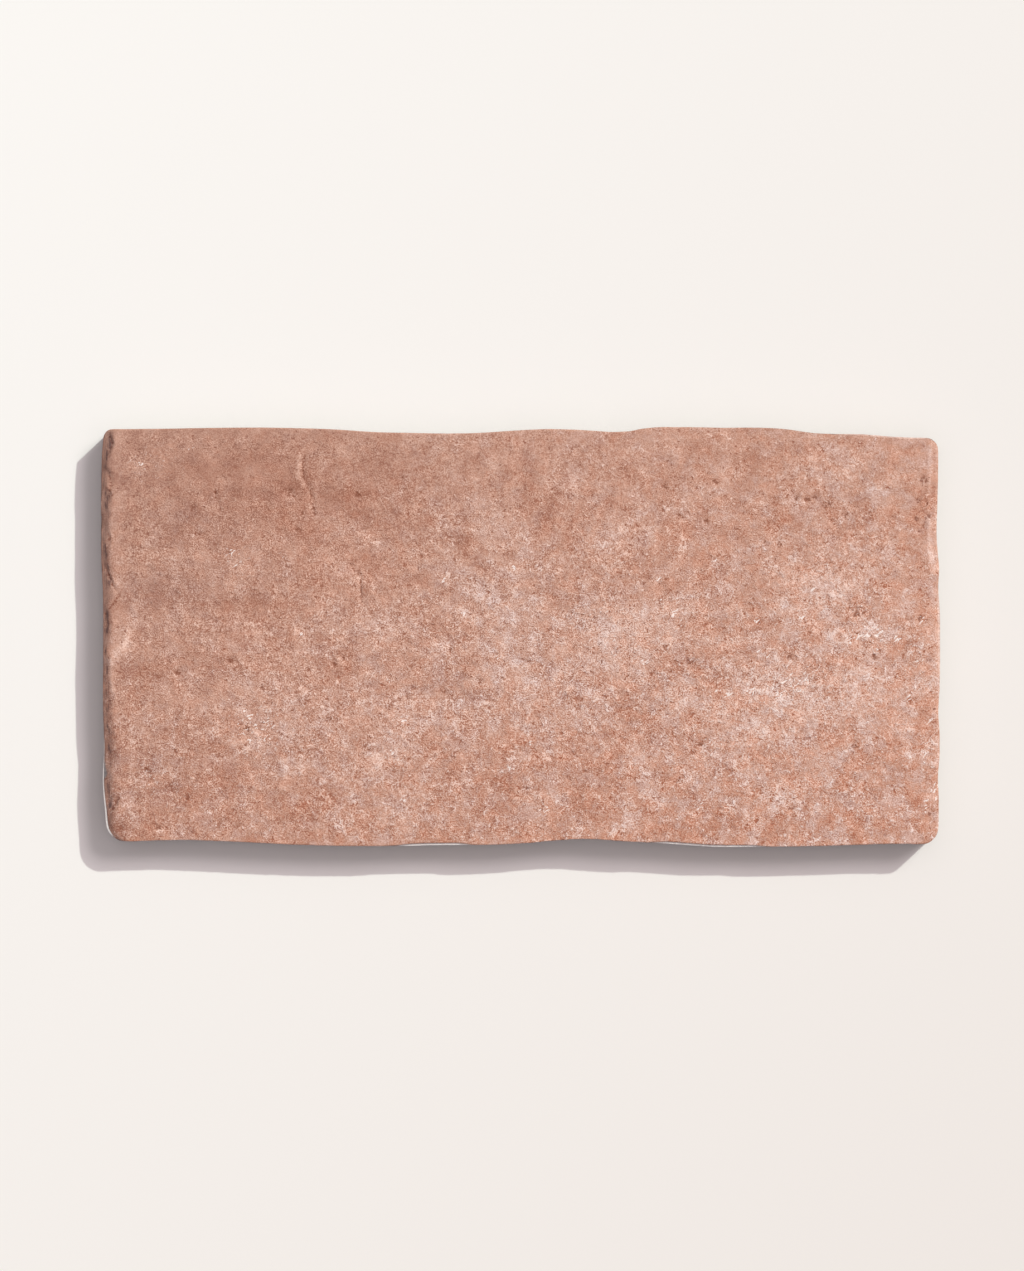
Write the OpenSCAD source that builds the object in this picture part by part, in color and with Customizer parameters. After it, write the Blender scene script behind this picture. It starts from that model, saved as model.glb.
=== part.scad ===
// Rustic porcelain floor tile with wavy pressed edges, a rolled rim and a keyed back.
// It lies face up: +Z is the face's way, +X runs along the length, and the origin is
// at the middle of the back. All sizes are in millimetres.

/* [Tile] */
// Length over the furthest points of the two ends
tile_length = 200; // [120:1:400]
// Width over the furthest points of the two long sides
tile_width = 100; // [60:1:200]
// Thickness from the bedding plane of the back to the face
tile_thickness = 10; // [7:0.5:14]

/* [Edges] */
// Depth of the deepest hollow in the wavy outline
wave_depth = 2.5; // [0:0.1:4]
// Corner radii: near left, near right, far right, far left
corner_radii = [4.5, 4, 3, 2]; // [1:0.5:8]
// Width of the rolled rim, measured inwards from the side
rim_width = 3.5; // [1:0.1:6]
// Height of the rolled rim, measured down from the face
rim_drop = 2.5; // [0.5:0.1:4]
// Small bevel round the back, where the press lets go of the tile
back_bevel = 0.6; // [0.2:0.1:1.5]

/* [Keyed back] */
// Plain border round the key pockets
key_border = 9; // [8:0.5:20]
// Wanted distance from one key pocket to the next
key_pitch = 15; // [10:0.5:30]
// Width of the rib between two key pockets
key_rib = 3; // [1:0.5:6]
// Depth of the key pockets
key_depth = 0.6; // [0.3:0.1:1.5]

/* [Hidden] */

half_length = tile_length / 2;
half_width = tile_width / 2;

// Each table runs along one side, from -1 to 1, and gives how far the side is
// pressed in there, as a share of wave_depth. The two long sides run along +X
// and the two ends along +Y. Two neighbouring zeros touch the full size.
far_side_waves = [
    [-1, 0.2], [-0.86, 0.15], [-0.72, 0.05], [-0.6, 0.05], [-0.45, 0.2],
    [-0.34, 0.48], [-0.13, 0.6], [0.05, 0.2], [0.14, 0.28], [0.22, 0.46],
    [0.26, 0.38], [0.31, 0.05], [0.36, 0], [0.42, 0], [0.48, 0.06], [0.56, 0.04],
    [0.63, 0.18], [0.71, 0.58], [0.82, 0.7], [0.91, 0.95], [1, 1]
];
near_side_waves = [
    [-1, 0.5], [-0.84, 0.62], [-0.74, 0.54], [-0.5, 0.14], [-0.32, 0.08],
    [-0.2, 0.18], [-0.06, 0.2], [0.03, 0.4], [0.1, 0.64], [0.17, 0.72],
    [0.26, 0.5], [0.34, 0.35], [0.46, 0.03], [0.54, 0], [0.62, 0], [0.72, 0.06],
    [0.88, 0.26], [1, 0.22]
];
left_end_waves = [
    [-1, 0.6], [-0.88, 0.46], [-0.72, 0.18], [-0.54, 0.28], [-0.36, 0.2],
    [0.08, 0.22], [0.24, 0.18], [0.34, 0.06], [0.46, 0], [0.62, 0], [0.78, 0.04],
    [0.9, 0.12], [1, 0.3]
];
right_end_waves = [
    [-1, 0.2], [-0.8, 0.12], [-0.66, 0.2], [-0.58, 0.06], [-0.42, 0.08],
    [-0.36, 0.22], [-0.28, 0.06], [-0.1, 0], [0.06, 0], [0.16, 0.05],
    [0.24, 0.18], [0.34, 0.1], [0.5, 0.32], [0.68, 0.24], [0.86, 0.18], [1, 0.2]
];

// Steps along each side, round each corner and over the rolled rim
long_steps = 52;
end_steps = 28;
corner_steps = 4;
rim_steps = 4;

// The pockets come in pairs each way, so that two ribs always cross at the origin
function pairs(span) = max(1, round((span - 2 * key_border) / (2 * key_pitch)));
key_columns = 2 * pairs(tile_length);
key_rows = 2 * pairs(tile_width);
pocket_length = (tile_length - 2 * key_border + key_rib) / key_columns - key_rib;
pocket_width = (tile_width - 2 * key_border + key_rib) / key_rows - key_rib;

// Slope of a wave table at its point i
function slope(table, i) =
    i == 0 || i == len(table) - 1 ? 0
    : (table[i + 1][1] - table[i - 1][1]) / (table[i + 1][0] - table[i - 1][0]);

// A smooth curve through a wave table, at the place s along the side
function wave(table, s) =
    let (
        place = min(max(s, -1), 1),
        i = max([for (k = [0:len(table) - 2]) if (table[k][0] <= place) k]),
        span = table[i + 1][0] - table[i][0],
        u = (place - table[i][0]) / span,
        v = 1 - u
    )
    max(0, (1 + 2 * u) * v * v * table[i][1] + u * u * (3 - 2 * u) * table[i + 1][1]
        + u * v * span * (v * slope(table, i) - u * slope(table, i + 1)));

// Moves a point of the plain rounded rectangle to its place in the wavy outline
function pressed(p) =
    let (
        end_in = wave_depth * wave(p.x < 0 ? left_end_waves : right_end_waves, p.y / half_width),
        side_in = wave_depth * wave(p.y < 0 ? near_side_waves : far_side_waves, p.x / half_length)
    )
    [p.x * (1 - end_in / half_length), p.y * (1 - side_in / half_width)];

// Corner k of the plain rectangle, as signs of x and y, anticlockwise from the near left
function corner_signs(k) = [[-1, -1], [1, -1], [1, 1], [-1, 1]][k];

// Centre of corner k's arc, for the outline set in by inset
function corner_centre(k, inset) =
    let (s = corner_signs(k), r = corner_radii[k])
    [s.x * (half_length - inset - r), s.y * (half_width - inset - r)];

// Point of corner k's arc at share t of its quarter turn
function corner_point(k, t, inset) =
    let (a = 180 + 90 * (k + t))
    corner_centre(k, inset) + corner_radii[k] * [cos(a), sin(a)];

// The plain rounded rectangle as one loop, anticlockwise, set in by inset
function ring(inset) = [
    for (k = [0:3])
        let (
            steps = k % 2 == 0 ? long_steps : end_steps,
            start = corner_point(k, 1, inset),
            finish = corner_point((k + 1) % 4, 0, inset)
        )
        each concat(
            [for (i = [0:corner_steps - 1]) corner_point(k, i / corner_steps, inset)],
            [for (i = [0:steps - 1]) start + (finish - start) * i / steps]
        )
];

// The wavy outline as one loop at height z, set in by inset
function pressed_ring(inset, z) = [for (p = ring(inset)) [each pressed(p), z]];

// The side's profile from the back up to the face: how far in, and how high
profile = concat(
    [[back_bevel, 0], [0, back_bevel], [0, tile_thickness - rim_drop]],
    [for (i = [1:rim_steps])
        let (a = 90 * i / rim_steps)
        [rim_width * (1 - cos(a)), tile_thickness - rim_drop * (1 - sin(a))]]
);

// The pressed blank: one ring for each step of the profile, closed by two flat caps
module blank() {
    rings = [for (step = profile) pressed_ring(step[0], step[1])];
    count = len(rings[0]);
    last = len(rings) - 1;
    back_centre = count * len(rings);
    face_centre = back_centre + 1;
    points = concat(
        [for (r = rings) each r],
        [[0, 0, 0], [0, 0, tile_thickness]]
    );
    side_faces = [
        for (j = [0:last - 1], i = [0:count - 1])
            let (n = (i + 1) % count, low = j * count, high = low + count)
            each [[low + i, high + i, low + n], [low + n, high + i, high + n]]
    ];
    caps = [
        for (i = [0:count - 1])
            let (n = (i + 1) % count, top = last * count)
            each [[back_centre, i, n], [face_centre, top + n, top + i]]
    ];
    polyhedron(points = points, faces = concat(side_faces, caps));
}

// The shallow square pockets that let the bedding grip the back, open downwards
module key_pockets() {
    for (column = [0:key_columns - 1], row = [0:key_rows - 1])
        translate([
            key_border - half_length + column * (pocket_length + key_rib),
            key_border - half_width + row * (pocket_width + key_rib),
            -key_depth
        ])
            cube([pocket_length, pocket_width, 2 * key_depth]);
}

module tile() {
    color([0.77, 0.58, 0.5])
        difference() {
            blank();
            key_pockets();
        }
}

tile();
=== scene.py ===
"""The looks of the rustic porcelain floor tile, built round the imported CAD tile.

One closed mesh stands for the CAD solid. Its outline, thickness and key pockets are read from the frame, and
it adds what the CAD leaves plain: the face's relief, the rim as it was pressed on each side, pits, grooves,
ridges and the glaze. Lengths are in mm until the mesh is made. +X runs along the tile, +Z is the face's way.
"""

import math

import bpy
import numpy as np
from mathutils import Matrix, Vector, geometry, noise


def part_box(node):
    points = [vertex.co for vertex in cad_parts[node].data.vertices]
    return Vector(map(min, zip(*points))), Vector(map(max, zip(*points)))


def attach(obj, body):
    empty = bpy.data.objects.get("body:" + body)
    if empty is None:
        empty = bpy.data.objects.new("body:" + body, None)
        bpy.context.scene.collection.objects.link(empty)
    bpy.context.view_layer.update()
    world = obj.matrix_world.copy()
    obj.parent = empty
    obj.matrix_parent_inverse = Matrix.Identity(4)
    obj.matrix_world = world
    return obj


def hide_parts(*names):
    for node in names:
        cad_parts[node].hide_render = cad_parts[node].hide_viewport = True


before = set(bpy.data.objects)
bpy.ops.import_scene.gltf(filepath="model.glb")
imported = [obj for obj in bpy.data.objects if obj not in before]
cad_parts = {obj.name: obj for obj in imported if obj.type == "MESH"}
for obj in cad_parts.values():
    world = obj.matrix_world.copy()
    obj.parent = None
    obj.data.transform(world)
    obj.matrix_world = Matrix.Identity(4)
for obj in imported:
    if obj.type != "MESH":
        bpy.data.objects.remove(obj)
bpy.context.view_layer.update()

MM = 0.001
HALF_LENGTH, HALF_WIDTH, THICKNESS = np.array(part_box("tile")[1]) / MM

# The ways across the face
RIGHT, FAR, NEAR = (1, 0), (0, 1), (0, -1)

# Mesh steps along the long sides and the ends, about 0.57 mm each
LONG_STEPS, END_STEPS = 352, 176

# ---- the frame

# The CAD's key pockets lie further in than this, and its outline doesn't
PLAIN_BORDER = 6.0

# The CAD's upright sides and the pockets' ceilings have points between these heights
LOW_POINT, HIGH_POINT = 0.02 * THICKNESS, 0.5 * THICKNESS


def from_edge(points):
    """How far inside the tile's box each point lies, seen from above."""
    return np.minimum(HALF_LENGTH - abs(points[:, 0]), HALF_WIDTH - abs(points[:, 1]))


def cad_points():
    """The CAD tile's points a little above its back: the outline's, and the key pockets'."""
    points = np.array([v.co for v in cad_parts["tile"].data.vertices]) / MM
    low = points[(points[:, 2] > LOW_POINT) & (points[:, 2] < HIGH_POINT), :2]
    border = from_edge(low) < PLAIN_BORDER
    return np.unique(low[border].round(3), axis=0), low[~border]


def closed_curve(loop):
    """A smooth closed curve through a loop: (a function of the length along it, its starts, its length)."""
    after, before = np.roll(loop, -1, axis=0), np.roll(loop, 1, axis=0)
    step = np.linalg.norm(after - loop, axis=1)
    slope = (after - before) / (step + np.roll(step, 1))[:, None]
    starts = np.concatenate([[0], np.cumsum(step)])

    def at(length):
        length = np.mod(length, starts[-1])
        i = np.clip(np.searchsorted(starts, length, "right") - 1, 0, len(loop) - 1)
        j = (i + 1) % len(loop)
        h = step[i][:, None]
        u = (length - starts[i])[:, None] / h
        v = 1 - u
        ends = (1 + 2 * u) * v * v * loop[i] + u * u * (3 - 2 * u) * loop[j]
        return ends + h * u * v * (v * slope[i] - u * slope[j])

    return at, starts, starts[-1]


def outline(loop):
    """The tile's outline, anticlockwise from the near left corner, evenly spaced along each side."""
    loop = loop[np.argsort(np.arctan2(loop[:, 1], loop[:, 0]))]
    at, starts, total = closed_curve(loop)
    signs = ((-1, -1), (1, -1), (1, 1), (-1, 1))
    corners = [starts[np.argmax(loop @ sign)] for sign in signs]
    corners.append(corners[0] + total)
    steps = (LONG_STEPS, END_STEPS, LONG_STEPS, END_STEPS)
    sides = [np.linspace(a, b, n, endpoint=False) for a, b, n in zip(corners, corners[1:], steps)]
    return at(np.concatenate(sides))


# ---- noise and marks

# Each octave of the lumps is this many times finer, and weaker by this power of it
OCTAVE_STEP, OCTAVE_FADE = 2.0, 1.0


def lumps(points, size, octaves=2, shift=0):
    """Smooth noise at each point, about -1 to 1, in lumps size mm wide. A shift in mm gives other lumps."""
    places = (points + shift) / size
    return np.array([noise.fractal(p, OCTAVE_FADE, OCTAVE_STEP, octaves) for p in places])


def drift(points, size, shift):
    """Two noises that move each point across the face, about -1 to 1, in lumps size mm wide."""
    return np.stack([lumps(points, size, shift=shift), lumps(points, size, shift=-shift)], axis=1)


def folds(points, size, octaves=3):
    """Mounds with sharp valleys between them, about 0 to 1, each about size mm wide."""
    return np.array([noise.turbulence(p, octaves, True) for p in points / size])


def smooth(value, low, high, start=0):
    """The start's value below low, 1 above high and a smooth step between."""
    t = np.clip((value - low) / (high - low), 0, 1)
    return start + (1 - start) * t * t * (3 - 2 * t)


def ramps(points, rows):
    """The sum of smooth steps across the face. (way, low, high, change)"""
    return sum(change * smooth(points[:, :2] @ way, low, high) for way, low, high, change in rows)


def patch(points, x, y, length, width):
    """1 in the middle of a soft oval patch of the face, falling to 0 around it."""
    return np.exp(-(((points[:, 0] - x) / length) ** 2) - ((points[:, 1] - y) / width) ** 2)


def patches(points, places):
    """The sum of soft oval patches of the face. (x, y, half length, half width, change)"""
    return sum(change * patch(points, *place) for *place, change in places)


def spots(points, places):
    """How deep in the nearest round spot each point is. (for each (radius, strength), the spots' places)"""
    out = np.zeros(len(points))
    for (radius, strength), middles in places.items():
        for x, y in middles:
            out = np.maximum(out, strength * patch(points, x, y, radius, radius))
    return out


def near_path(points, path):
    """How far each point is from a path across the face, seen from above."""
    path = np.array(path, float)
    spot = points[:, None, :2]
    run = path[1:] - path[:-1]
    share = ((spot - path[:-1]) * run).sum(-1) / (run * run).sum(-1)
    foot = path[:-1] + np.clip(share, 0, 1)[..., None] * run
    return np.linalg.norm(spot - foot, axis=-1).min(axis=1)


def strokes(points, places, spread=1.0):
    """How strong each stroke is at each point, spread times as wide as given. (width, strength, path)"""
    rows = []
    for width, strength, path in places:
        rows.append(strength * np.exp(-((near_path(points, path) / (spread * width)) ** 2)))
    return np.stack(rows)


# ---- the rim

# The bevel round the back, and how far the ledge slopes down to the upright side
BACK_BEVEL = 0.6
LEDGE_STEP = 0.2

# How the rim was pressed, at places along each side: the place, the ledge's width, the flank's width and
# height, and the roll's width and height. The ledge is pale slip showing outside the glaze, under the flank.
NEAR_RIM = [
    (-100, 0.0, 0.2, 0.4, 0.5, 0.3), (-94, 0.0, 0.05, 0.3, 0.3, 0.1), (-32, 0.0, 0.05, 0.3, 0.3, 0.1),
    (-26, 0.5, 0.05, 0.3, 0.3, 0.1), (-15, 0.5, 0.05, 0.3, 0.3, 0.1), (-11, 0.0, 0.05, 0.3, 0.3, 0.1),
    (30, 0.0, 0.05, 0.3, 0.3, 0.1), (35, 0.5, 0.05, 0.3, 0.3, 0.1), (55, 0.4, 0.05, 0.3, 0.3, 0.1),
    (60, 0.0, 0.05, 0.3, 0.3, 0.1), (100, 0.0, 0.1, 0.4, 0.5, 0.15),
]
RIGHT_RIM = [
    (-50, 0.0, 0.1, 0.4, 1.2, 0.25), (-12, 0.0, 0.1, 0.4, 1.8, 0.3), (-6, 0.5, 0.1, 0.4, 1.8, 0.3),
    (8, 0.6, 0.1, 0.4, 1.6, 0.3), (13, 0.0, 0.1, 0.4, 1.4, 0.3), (30, 0.0, 0.1, 0.4, 1.4, 0.3),
    (50, 0.0, 0.1, 0.4, 1.0, 0.25),
]
FAR_RIM = [
    (-100, 0.0, 0.1, 0.4, 0.5, 0.15), (60, 0.0, 0.1, 0.4, 0.4, 0.1), (72, 0.0, 0.1, 0.3, 0.5, 0.12),
    (80, 0.4, 0.1, 0.3, 0.5, 0.12), (94, 0.4, 0.1, 0.3, 0.5, 0.12), (100, 0.0, 0.1, 0.4, 0.5, 0.12),
]
LEFT_RIM = [
    (-50, 0.45, 0.5, 0.5, 1.6, 0.6), (-44, 0.45, 0.9, 0.7, 2.2, 0.7), (-36, 0.3, 1.4, 0.9, 2.2, 0.7),
    (-24, 0.15, 1.5, 1.0, 2.2, 0.6), (-20, 0.0, 1.4, 1.0, 1.8, 0.5), (-10, 0.0, 1.1, 0.9, 1.5, 0.4),
    (-4, 0.0, 0.9, 0.7, 1.4, 0.4), (4, 0.0, 1.3, 1.0, 1.6, 0.4), (18, 0.0, 1.5, 1.2, 1.5, 0.4),
    (22, 0.12, 1.6, 1.2, 1.3, 0.3), (34, 0.12, 1.6, 1.2, 1.4, 0.4), (38, 0.0, 1.3, 1.0, 1.8, 0.5),
    (46, 0.0, 1.8, 1.2, 1.2, 0.3), (50, 0.0, 1.2, 1.0, 0.8, 0.3),
]

# How far up the upright side its rings lie, and how many rings the flank and the roll have
WALL_SHARES, FLANK_ROWS, ROLL_ROWS = (0.5, 0.95, 1.0), 6, 6

# How uneven the flank and the roll are, as shares of their widths, and the size of their lumps in mm
FLANK_UNEVEN, FLANK_LUMP = 0.6, 5
ROLL_UNEVEN, ROLL_LUMP = 0.5, 4

# The small nicks in the flank: their depth and size in mm
NICK_DEPTH, NICK_LUMP = 0.1, 2.2

# How far across the ledge its step is, and how far across the roll its knee may be
STEP_PLACE, KNEE_PLACE = 0.8, 0.7

# The left flank's crest: its place, wander and width as shares of the flank's height, and its lumps in mm
CREST_PLACE, CREST_WANDER, CREST_WIDTH, CREST_LUMP = 0.78, 0.25, 0.2, 4

# The size of the lumps of painted crease shade on the left flank, and the noise at which it starts and is
# full
CREASE_LUMP, CREASE_SHADE_LEVELS = 3.5, (-0.1, 0.3)

# The ledge's ragged ends, in mm and the size of their lumps, and the widths at which it starts and is full
RAGGED, RAGGED_LUMP, SHOWN_LEDGE = 0.12, 3, (0.1, 0.25)

# How strongly the upright sides are stained, and how much painted shade darkens the left flank, its foot and
# its crest
WALL_STAIN, LEFT_SHADE, FOOT_SHADE, CREST_SHADE = 0.75, 0.32, 0.3, 0.6

# The far rim's painted shade as a share of the left one's, and where along it that shade starts and is full
FAR_SHADE_SHARE, FAR_SHADED = 0.6, (50, 65)

# How much of the right and far ledges the glaze covers
GLAZED_SHARE = 0.8


def along(table, place):
    """The rim's five sizes at each place along a side."""
    table = np.array(table)
    return np.stack([np.interp(place, table[:, 0], table[:, k]) for k in range(1, 6)])


def outward(loop):
    """The outline's outward direction at each of its points."""
    ahead = np.roll(loop, -1, axis=0) - np.roll(loop, 1, axis=0)
    return np.stack([ahead[:, 1], -ahead[:, 0]], axis=1) / np.linalg.norm(ahead, axis=1)[:, None]


def insets(sizes, share, sites):
    """How far inside the outline each ring lies, from the back up, for the rim of one pair of sides."""
    ledge, flank, flank_drop, roll, roll_drop = sizes
    nicks = NICK_DEPTH * abs(lumps(sites, NICK_LUMP))
    flank = flank + share * (FLANK_UNEVEN * flank * lumps(sites, FLANK_LUMP) + nicks)
    roll = roll * (1 + ROLL_UNEVEN * share * lumps(sites, ROLL_LUMP, shift=30))
    knee = np.minimum(flank * (1 + roll_drop / flank_drop), flank + KNEE_PLACE * roll)
    upright = 0 * ledge
    out = [BACK_BEVEL + upright] + [upright] * (len(WALL_SHARES) + 1) + [STEP_PLACE * ledge]
    out += [ledge + flank * t for t in np.linspace(0, 1, FLANK_ROWS)]
    for t in np.linspace(0, 1, ROLL_ROWS)[1:]:
        out.append(ledge + (1 - t) ** 2 * flank + 2 * t * (1 - t) * knee + t * t * (flank + roll))
    return out


def ring_rows(sites, end_share, sizes):
    """Each ring's height, how bare its ledge is, and its stain and painted shade, from the back up."""
    x, y = sites.T[:2]
    ledge, flank_drop, roll_drop = sizes[0], sizes[2], sizes[4]
    flank_foot = THICKNESS - roll_drop - flank_drop
    left = end_share * (x < 0)
    far = (1 - end_share) * (y > 0)
    # Painted shade lies on the left flank and on the far rim towards the right
    shaded_side = left + FAR_SHADE_SHARE * far * smooth(x, *FAR_SHADED)

    # Painted shade darkens the left flank's creases here and there, along a crest that wanders up and down
    # it
    crease_shade = left * smooth(lumps(sites, CREASE_LUMP, shift=60), *CREASE_SHADE_LEVELS)
    crest_place = CREST_PLACE + CREST_WANDER * lumps(sites, CREST_LUMP, shift=90)

    # The ledge has ragged ends, and it hardly shows on the right and far sides
    covered = smooth(ledge + RAGGED * lumps(sites, RAGGED_LUMP), *SHOWN_LEDGE)
    bare = covered * (1 - GLAZED_SHARE * (end_share * (x > 0) + far))

    plain = 0 * x
    rows = [(plain, plain, plain), (BACK_BEVEL + plain, plain, WALL_STAIN + plain)]
    for t in WALL_SHARES:
        height = BACK_BEVEL + (flank_foot - LEDGE_STEP - BACK_BEVEL) * t
        rows.append((height, bare * (t == 1), WALL_STAIN * (1 - covered * t)))
    rows.append((flank_foot - LEDGE_STEP / 2, bare, WALL_STAIN * (1 - covered)))
    for t in np.linspace(0, 1, FLANK_ROWS):
        crest = np.exp(-(((t - crest_place) / CREST_WIDTH) ** 2))
        stain_and_shade = LEFT_SHADE * shaded_side + FOOT_SHADE * left * (t == 0) + CREST_SHADE * crest * crease_shade
        rows.append((flank_foot + flank_drop * t, plain, stain_and_shade))
    for t in np.linspace(0, 1, ROLL_ROWS)[1:]:
        rows.append((THICKNESS - (1 - t) ** 2 * roll_drop, plain, LEFT_SHADE * shaded_side * (1 - t)))
    return rows


def rim_rings(loop):
    """The side as rings from the back up over the rim to the edge of the face: (points, ledge, stain and
    painted shade).
    """
    x, y = loop.T
    sites = np.stack([x, y, 0 * x], axis=1)
    end_share = outward(loop)[:, 0] ** 2
    end = np.where(x < 0, along(LEFT_RIM, y), along(RIGHT_RIM, y))
    long_side = np.where(y < 0, along(NEAR_RIM, x), along(FAR_RIM, x))
    rows = ring_rows(sites, end_share, end_share * end + (1 - end_share) * long_side)
    insets_x, insets_y = insets(end, end_share, sites), insets(long_side, 1 - end_share, sites)
    rings = []
    for inset_x, inset_y, (height, bare, stain_and_shade) in zip(insets_x, insets_y, rows):
        points = np.stack([x * (1 - inset_x / HALF_LENGTH), y * (1 - inset_y / HALF_WIDTH), height], axis=1)
        rings.append((points, bare, stain_and_shade))
    return rings


# ---- the mesh

# How often the grid's inner points are moved between their neighbours, so that none folds at a round corner
EASING_ROUNDS = 20

# The key pockets: their depth, how far their sides lean in, and their corners' radius and steps
KEY_DEPTH, POCKET_DRAFT = 0.6, 0.35
POCKET_CORNER, POCKET_ARC_STEPS = 1.2, 3

# Points of the back nearer than this count as one
WELD = 1e-6


def ring_sides(ring):
    """A ring's near, right, far and left side with their corners, each from the left or the near end."""
    ring = np.concatenate([ring, ring[:1]])
    ends = np.cumsum([0, LONG_STEPS, END_STEPS, LONG_STEPS, END_STEPS])
    near, right, far, left = (ring[start : end + 1] for start, end in zip(ends, ends[1:]))
    return near, right, far[::-1], left[::-1]


def face_grid(rim):
    """The face inside the last ring, as a grid of points whose edges are the ring's own points."""
    near, right, far, left = ring_sides(rim)
    u = np.linspace(0, 1, LONG_STEPS + 1)[:, None, None]
    v = np.linspace(0, 1, END_STEPS + 1)[None, :, None]
    across = (1 - v) * near[:, None] + v * far[:, None] + (1 - u) * left[None] + u * right[None]
    corners = (1 - u) * ((1 - v) * near[0] + v * far[0]) + u * ((1 - v) * near[-1] + v * far[-1])
    grid = across - corners
    for _ in range(EASING_ROUNDS):
        sides = grid[:-2, 1:-1] + grid[2:, 1:-1] + grid[1:-1, :-2] + grid[1:-1, 2:]
        grid[1:-1, 1:-1] = sides / 4
    return grid


def grid_index(first_rim, first_inner):
    """Where each point of the face's grid is in the mesh: on the last ring, or among the inner points."""
    index = np.zeros((LONG_STEPS + 1, END_STEPS + 1), int)
    inner = first_inner + np.arange((LONG_STEPS - 1) * (END_STEPS - 1))
    index[1:-1, 1:-1] = inner.reshape(LONG_STEPS - 1, END_STEPS - 1)
    rim = first_rim + np.arange(2 * (LONG_STEPS + END_STEPS))
    index[:, 0], index[-1], index[:, -1], index[0] = ring_sides(rim)
    return index


def rounded_rectangle(low, high, inset):
    """A rectangle's outline with round corners, anticlockwise, set in by inset."""
    low, high = low + inset, high - inset
    points = []
    for k, (sx, sy) in enumerate(((-1, -1), (1, -1), (1, 1), (-1, 1))):
        centre = np.where((sx > 0, sy > 0), high - POCKET_CORNER, low + POCKET_CORNER)
        for step in range(POCKET_ARC_STEPS + 1):
            angle = math.radians(180 + 90 * (k + step / POCKET_ARC_STEPS))
            points.append(centre + POCKET_CORNER * np.array((math.cos(angle), math.sin(angle))))
    return points


def pocket_boxes(points):
    """The lowest and highest corner of each key pocket, from the CAD's pocket corners."""
    xs, ys = (np.unique(points[:, k].round(2)).reshape(-1, 2) for k in (0, 1))
    return [(np.array((x[0], y[0])), np.array((x[1], y[1]))) for x in xs for y in ys]


def back_faces(ring, pockets, first):
    """The keyed back: its new points, and its faces. The ring's own points come first in the mesh."""
    flat = [Vector(p) for p in ring[:, :2]]
    edges = [(i, (i + 1) % len(ring)) for i in range(len(ring))]
    points, faces = [], []
    count = 4 * (POCKET_ARC_STEPS + 1)
    for low, high in pockets:
        mouth, floor = rounded_rectangle(low, high, 0), rounded_rectangle(low, high, POCKET_DRAFT)
        at = len(flat)
        flat += [Vector(p) for p in mouth]
        edges += [(at + i, at + (i + 1) % count) for i in range(count)]
        start = first + len(points)
        points += [(*p, 0) for p in mouth] + [(*p, KEY_DEPTH) for p in floor]
        for i in range(count):
            n = (i + 1) % count
            faces.append((start + n, start + i, start + count + i, start + count + n))
        faces.append(tuple(start + 2 * count - 1 - i for i in range(count)))

    # The flat between the border and the pockets' mouths, without the mouths themselves
    own = list(range(len(ring)))
    for k in range(len(pockets)):
        own += range(first + 2 * count * k, first + 2 * count * k + count)
    lows, highs = (np.array([box[k] for box in pockets]) for k in (0, 1))
    made = geometry.delaunay_2d_cdt(flat, edges, [], 1, WELD)
    for face in made[2]:
        middle = np.mean([made[0][i] for i in face], axis=0)
        if not ((middle > lows) & (middle < highs)).all(axis=1).any():
            faces.append(tuple(own[made[3][i][0]] for i in reversed(face)))
    return points, faces


def tile_mesh():
    """The tile before its relief: (points, faces, how many points aren't the back's, ledge, and stain and
    painted shade).
    """
    border, pocket_points = cad_points()
    rings, ledges, stain_and_shade_rows = zip(*rim_rings(outline(border)))
    grid = face_grid(rings[-1])
    count = len(rings[0])
    points = np.concatenate([*rings, grid[1:-1, 1:-1].reshape(-1, 3)])
    faces = []
    i = np.arange(count)
    n = (i + 1) % count
    for row in range(len(rings) - 1):
        low, high = row * count, (row + 1) * count
        faces += np.stack([low + i, low + n, high + n, high + i], axis=1).tolist()
    index = grid_index((len(rings) - 1) * count, len(rings) * count)
    quads = np.stack([index[:-1, :-1], index[1:, :-1], index[1:, 1:], index[:-1, 1:]], axis=-1)
    faces += quads.reshape(-1, 4).tolist()
    worked = len(points)
    more_points, more_faces = back_faces(rings[0], pocket_boxes(pocket_points), worked)
    rim = np.concatenate(ledges), np.concatenate(stain_and_shade_rows)
    return np.concatenate([points, more_points]), faces + more_faces, worked, rim


# ---- the relief

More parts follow.
